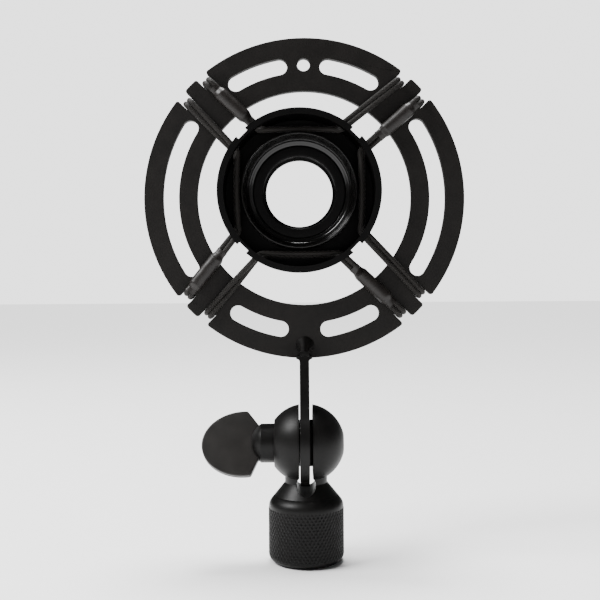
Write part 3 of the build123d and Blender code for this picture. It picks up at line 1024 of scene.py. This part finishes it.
class SHOCKMOUNT_OT_bush(Build, bpy.types.Operator):
    """Make the threaded bush in the middle of the cup"""

    bl_idname = "shockmount.bush"
    bl_label = "Threaded bush"

    def execute(self, context):
        s = context.scene.shock_metal
        low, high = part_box("threaded_bush")
        front, back = float(low[1]), float(high[1])
        tube, bore, lip, flange = 16.0 * MM, 12.6 * MM, 11.7 * MM, reach("threaded_bush", 0)
        floor = float(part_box("mic_cup")[1][1]) + 0.02 * MM
        ledge = 9.8 * MM
        corners = [
            (bore + 0.35 * MM, front), (tube, front), (tube, floor), (flange, floor),
            (flange, back), (bore - 0.2 * MM, back), (bore - 0.2 * MM, ledge + 1.2 * MM),
            (lip, ledge + 1.2 * MM), (lip, ledge), (bore, ledge), (bore, front + 0.4 * MM),
        ]
        radii = np.array([0.15, 0.3, 0.05, 0.3, 0.4, 0.2, 0.1, 0.15, 0.2, 0.05, 0.15]) * MM

        def lift(angle, r, h):
            cut = ease((h - front - 0.4 * MM) / (0.6 * MM))
            cut = cut * ease((ledge - 0.3 * MM - h) / (0.6 * MM))
            height = s.bush_depth * cut * (saw(h / s.bush_pitch + angle / (2 * math.pi)) - 0.2)
            return np.where(np.abs(r - bore) < 0.02 * MM, height, 0.0)

        place = (BACK, RIGHT, np.array([CUP[0], 0.0, CUP[2]]))
        rows = s.bush_pitch / 8

        def in_bore(r, h):
            return (r < bore + 0.01 * MM) & (h < ledge)

        bush = lathe("bush_threaded", corners, radii, rows, place, 180, lift, in_bore)
        dress(bush, "bush", "cup_black", "cup", "threaded_bush")
        return {"FINISHED"}


class SHOCKMOUNT_OT_lock_ring(Build, bpy.types.Operator):
    """Make the knurled lock ring with its dished face"""

    bl_idname = "shockmount.lock_ring"
    bl_label = "Lock ring"

    def execute(self, context):
        s = context.scene.shock_metal
        low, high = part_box("lock_ring")
        front, back = float(low[1]), float(high[1])
        r, bore = reach("lock_ring", 0), 16.2 * MM
        floor, foot, lip = 4.5 * MM, 16.8 * MM, 19.3 * MM
        t = np.radians(np.linspace(2.0, 50.0, 15))
        across = foot + (lip - foot) * np.sin(t) / np.sin(t[-1])
        deep = floor - (floor - front) * (1.0 - np.cos(t)) / (1.0 - np.cos(t[-1]))
        corners = [
            (bore, floor + 0.3 * MM), (foot, floor), *zip(across, deep), (r - 0.4 * MM, front),
            (r, front + 0.4 * MM), (r, back), (bore, back),
        ]
        radii = np.array([0.05, 0.03] + [0.0] * (len(t) - 1) + [0.1, 0.1, 0.1, 0.4, 0.2]) * MM

        def lift(angle, r0, h):
            outside = ease((r0 - r + 0.5 * MM) / (0.4 * MM))
            return -s.lock_depth * outside * (1.0 - saw(s.lock_teeth * angle / (2 * math.pi)))

        place = (BACK, RIGHT, np.array([CUP[0], 0.0, CUP[2]]))
        columns = s.lock_teeth * 5
        ring = lathe("lock_ring_knurled", corners, radii, MM, place, columns, lift, smooth=50.0)
        dress(ring, "lock", "lock_gloss", "lock_ring", "lock_ring")
        return {"FINISHED"}


class SHOCKMOUNT_OT_cords(Build, bpy.types.Operator):
    """Make the doubled elastic cords: legs, runs inside the cup and loops behind the tabs"""

    bl_idname = "shockmount.cords"
    bl_label = "Elastic cords"

    def execute(self, context):
        for index, side in enumerate(SIDES):
            node = "elastic_" + side
            here, there = PLACES[index], PLACES[(index + 1) % 4]
            path, twist, wall, wall2 = side_run(index)
            end = lengths(path)[-1]
            parts = {
                "cord_" + here + "_sleeved": (0.0, wall, here, -1),
                "cord_run_" + side: (wall, wall2, None, 0),
                "cord_" + there + "_plain": (wall2, end, there, 1),
            }
            for name, (low, high, place, edge) in parts.items():
                keep = part_of(path, low, high)
                back = np.broadcast_to(BACK, (int(keep.sum()), 3))
                strands = [strand(p[keep], back) for p in pair_paths(path, twist)]
                piece = make(name, strands, 60.0)
                dress(piece, "cord", "elastic_cord", None if place else "cup", node)
                if place:
                    bend_leg(piece, place, edge)
            loops = [strand(*rear_loop(there, sign)) for sign in (-1.0, 1.0)]
            loop = make("cord_loop_" + there, loops, 60.0)
            dress(loop, "cord", "elastic_cord", "mount", node)
        return {"FINISHED"}


class SHOCKMOUNT_OT_sleeves(Build, bpy.types.Operator):
    """Make the shrunk sleeves and the crimped ferrules inside them"""

    bl_idname = "shockmount.sleeves"
    bl_label = "Sleeves and ferrules"

    def execute(self, context):
        s = context.scene.shock_sleeves
        for index, place in enumerate(PLACES):
            self.sleeve(s, index, place)
            self.ferrule(s, place)
        return {"FINISHED"}

    def sleeve(self, s, index, place):
        """An oval section that turns with the pair: 1 / sqrt((cos q / a)^2 + (sin q / b)^2), with the
        half widths a and b rising from the shrunk ends to the round middle."""
        start, stop = SLEEVE_ENDS[place]
        run, twist, _, _ = side_run(index)
        run_at = lengths(run) + LEG_START
        lip, lip_rows, rows = 1.2 * MM, 8, 150
        at = np.concatenate(
            [
                np.linspace(start + lip, start, lip_rows, endpoint=False),
                np.linspace(start, stop, rows),
                np.linspace(stop, stop - lip, lip_rows + 1)[1:],
            ]
        )
        inside = np.concatenate([np.ones(lip_rows), np.zeros(rows), np.ones(lip_rows)])
        bend, turn = leg_line(place, -1)
        direction = unit(turn - bend)
        normal = unit(BACK - (BACK @ direction) * direction)
        across = np.cross(direction, normal)
        u = np.linspace(0.0, 2 * math.pi, 64, endpoint=False)[None, :]
        rise, lead, soft = s.end_length, 1.8 * MM, 2.2 * MM
        m = ease((at - start - rise + lead) / soft) * ease((stop - rise + lead - at) / soft)
        near_end = np.minimum(at - start, stop - at)
        flare = 0.03 * MM * np.exp(-((near_end / (0.5 * MM)) ** 2))
        a = s.end_wide + (s.middle_radius - s.end_wide) * m + flare
        b = s.end_thin + (0.95 * s.middle_radius - s.end_thin) * m + flare
        q = u - np.interp(at, run_at, twist)[:, None]
        r = 1.0 / np.sqrt((np.cos(q) / a[:, None]) ** 2 + (np.sin(q) / b[:, None]) ** 2)
        seed = 1.7 * index
        wave = np.sin(2 * u + 900 * at[:, None] + seed) * np.sin(410 * at[:, None] + 3 * seed)
        ripple = np.sin(5 * u + 2300 * at[:, None] + seed) * (1.0 - m[:, None])
        r = r + 0.03 * MM * wave + 0.01 * MM * ripple
        r = r - s.wall * inside[:, None]
        centre = bend + direction * at[:, None]
        round_it = np.cos(u)[..., None] * across + np.sin(u)[..., None] * normal
        points = centre[:, None, :] + r[..., None] * round_it
        surface = {"points": points, "loop": False, "along": lengths(centre)}
        piece = make("sleeve_tube_" + place, [surface], 60.0)
        dress(piece, "sleeve", "sleeve_shrink", None, "sleeve_" + place)
        bend_leg(piece, place, -1)

    def ferrule(self, s, place):
        """A tube with three crimped waists: r - c cos^2 of the length, along the leg."""
        bend, turn = leg_line(place, -1)
        half, r, lip = s.ferrule_length / 2, s.ferrule_radius, 0.2 * MM
        corners = [(r - lip, -half), (r, -half), (r, half), (r - lip, half)]

        def lift(angle, r0, h):
            return -0.12 * MM * np.cos(h / half * 1.5 * math.pi) ** 2 * np.cos(angle * 2) ** 2

        axes = (unit(turn - bend), BACK, middle("ferrule_" + place))
        piece = lathe("ferrule_crimped_" + place, corners, 0.08 * MM, 0.15 * MM, axes, 64, lift)
        dress(piece, "ferrule", "ferrule_metal", None, "ferrule_" + place)
        bend_leg(piece, place, -1)


class SHOCKMOUNT_OT_stage(Build, bpy.types.Operator):
    """Make the floor and backdrop, the lights and the camera"""

    bl_idname = "shockmount.stage"
    bl_label = "Stage"

    def execute(self, context):
        s = context.scene.shock_stage
        floor = context.scene.shock_colours.floor
        disc = rounded_run([(0.0, 0.0), (3.0, 0.0), (30.0, 0.0)], 0.0, 3.0)
        piece = make("floor", [turned(disc, UP, RIGHT, np.zeros(3), 64)], 180.0)
        f = Finish("Floor paper")
        base = f.mix(f.noise(60.0, 2.0), tone(floor, 0.985), tone(floor, 1.0))
        paper = f.surface(Base_Color=base, Roughness=0.9, Specular_IOR_Level=0.1)
        piece.data.materials.append(paper)
        self.light("key", (-0.68, -0.2, 0.86), 0.45, s.key)
        self.light("fill", (0.75, -0.8, 0.3), 0.6, s.fill)
        top = bpy.data.lights.new("top", "SUN")
        top.energy = s.top
        top.angle = math.radians(22)
        self.put("top", top, (0.0, 0.0, 0.0), (math.radians(-11), 0.0, 0.0))
        self.surroundings(s)
        data = bpy.data.cameras.new("camera")
        data.lens = s.lens
        data.sensor_width = 36.0
        place = (s.sideways, RING[1] - s.distance, s.height)
        context.scene.camera = self.put("camera", data, place, (math.pi / 2, s.roll, 0.0))
        return {"FINISHED"}

    def put(self, name, data, place, turn):
        """Links a light or camera to the scene at a place, turned about each axis."""
        made = bpy.data.objects.new(name, data)
        made.location = place
        made.rotation_euler = turn
        bpy.context.collection.objects.link(made)
        return made

    def light(self, name, place, width, power, target=(0.0, 0.0, 0.1)):
        """A square soft light at a place, turned to face a target."""
        data = bpy.data.lights.new(name, "AREA")
        data.shape = "SQUARE"
        data.size = width
        data.energy = power
        away = np.array(place) - np.array(target)
        flat = math.hypot(away[0], away[1])
        turn = (math.atan2(flat, away[2]), 0.0, math.atan2(away[0], -away[1]))
        self.put(name, data, place, turn)

    def surroundings(self, s):
        """White surroundings, with one strength for their light and one for how bright they look."""
        world = bpy.data.worlds.new("Surroundings")
        world.use_nodes = True
        tree = world.node_tree
        path = tree.nodes.new("ShaderNodeLightPath")
        mix = tree.nodes.new("ShaderNodeMixShader")
        tree.links.new(path.outputs["Is Camera Ray"], mix.inputs[0])
        looks = [(tree.nodes["Background"], s.sky), (tree.nodes.new("ShaderNodeBackground"), s.backdrop)]
        for slot, (look, strength) in enumerate(looks, 1):
            look.inputs[0].default_value = (1.0, 1.0, 1.0, 1.0)
            look.inputs[1].default_value = strength
            tree.links.new(look.outputs[0], mix.inputs[slot])
        tree.links.new(mix.outputs[0], tree.nodes["World Output"].inputs[0])
        bpy.context.scene.world = world


class SHOCKMOUNT_PT_panel(bpy.types.Panel):
    """Sizes, colours and the pieces' operators"""

    bl_label = "Shock mount"
    bl_idname = "SHOCKMOUNT_PT_panel"
    bl_space_type = "VIEW_3D"
    bl_region_type = "UI"
    bl_category = "Shock mount"

    def draw(self, context):
        for name, group in SETTINGS.items():
            box = self.layout.box()
            for key in group.__annotations__:
                box.prop(getattr(context.scene, name), key)
        for operator in OPERATORS:
            self.layout.operator(operator.bl_idname)


OPERATORS = Build.__subclasses__()


def register():
    for group in SETTINGS.values():
        bpy.utils.register_class(group)
    for operator in OPERATORS:
        bpy.utils.register_class(operator)
    bpy.utils.register_class(SHOCKMOUNT_PT_panel)
    for name, group in SETTINGS.items():
        setattr(bpy.types.Scene, name, bpy.props.PointerProperty(type=group))


def unregister():
    for name in SETTINGS:
        delattr(bpy.types.Scene, name)
    bpy.utils.unregister_class(SHOCKMOUNT_PT_panel)
    for operator in reversed(OPERATORS):
        bpy.utils.unregister_class(operator)
    for group in reversed(list(SETTINGS.values())):
        bpy.utils.unregister_class(group)


def main():
    for start in list(bpy.data.objects):
        if start.name in ("Cube", "Light", "Camera"):
            bpy.data.objects.remove(start)
    register()
    bpy.ops.shockmount.stage()
    bpy.ops.shockmount.ring()
    bpy.ops.shockmount.arm()
    bpy.ops.shockmount.swivel()
    bpy.ops.shockmount.washers()
    bpy.ops.shockmount.thumb_screw()
    bpy.ops.shockmount.cup()
    bpy.ops.shockmount.bush()
    bpy.ops.shockmount.lock_ring()
    bpy.ops.shockmount.cords()
    bpy.ops.shockmount.sleeves()


if __name__ == "__main__":
    main()
